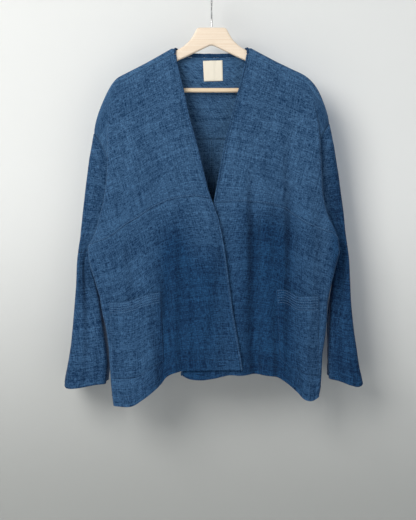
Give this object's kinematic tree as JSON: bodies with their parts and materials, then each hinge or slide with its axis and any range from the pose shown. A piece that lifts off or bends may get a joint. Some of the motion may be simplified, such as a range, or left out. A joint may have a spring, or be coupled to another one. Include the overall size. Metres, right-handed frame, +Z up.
{
  "type": "haori jacket on a wooden hanger",
  "caption": "Open-fronted indigo haori jacket with full sleeves and two patch pockets, hanging on a wooden hanger with a trouser bar and a wire hook.",
  "frame": {"origin": "inside of the hook's crown, where it rests on a rail", "axes": "+Z up, +X to the wearer's left (the viewer's right), -Y to the front of the jacket"},
  "size_m": [0.6159, 0.1248, 0.8491],
  "materials": {
    "indigo_cloth": "matt, plain hand weave with uneven threads",
    "binding": "matt rolled binding",
    "label_cloth": "matt, plain and bare",
    "hanger_wood": "satin clear lacquer",
    "hook_wire": "satin"
  },
  "bodies": {
    "root": {"front_right_upper": "indigo_cloth", "front_right_lower": "indigo_cloth", "front_left_upper": "indigo_cloth", "front_left_lower": "indigo_cloth", "back_yoke": "indigo_cloth", "back_lower_right": "indigo_cloth", "back_lower_left": "indigo_cloth", "sleeve_right": "indigo_cloth", "sleeve_left": "indigo_cloth", "pocket_right": "indigo_cloth", "pocket_left": "indigo_cloth", "edge_band_right": "binding", "edge_band_left": "binding", "neck_band": "binding", "label": "label_cloth", "hanger_wood": "hanger_wood", "hanger_bar": "hanger_wood", "hanger_hook": "hook_wire"}
  },
  "joints": []
}
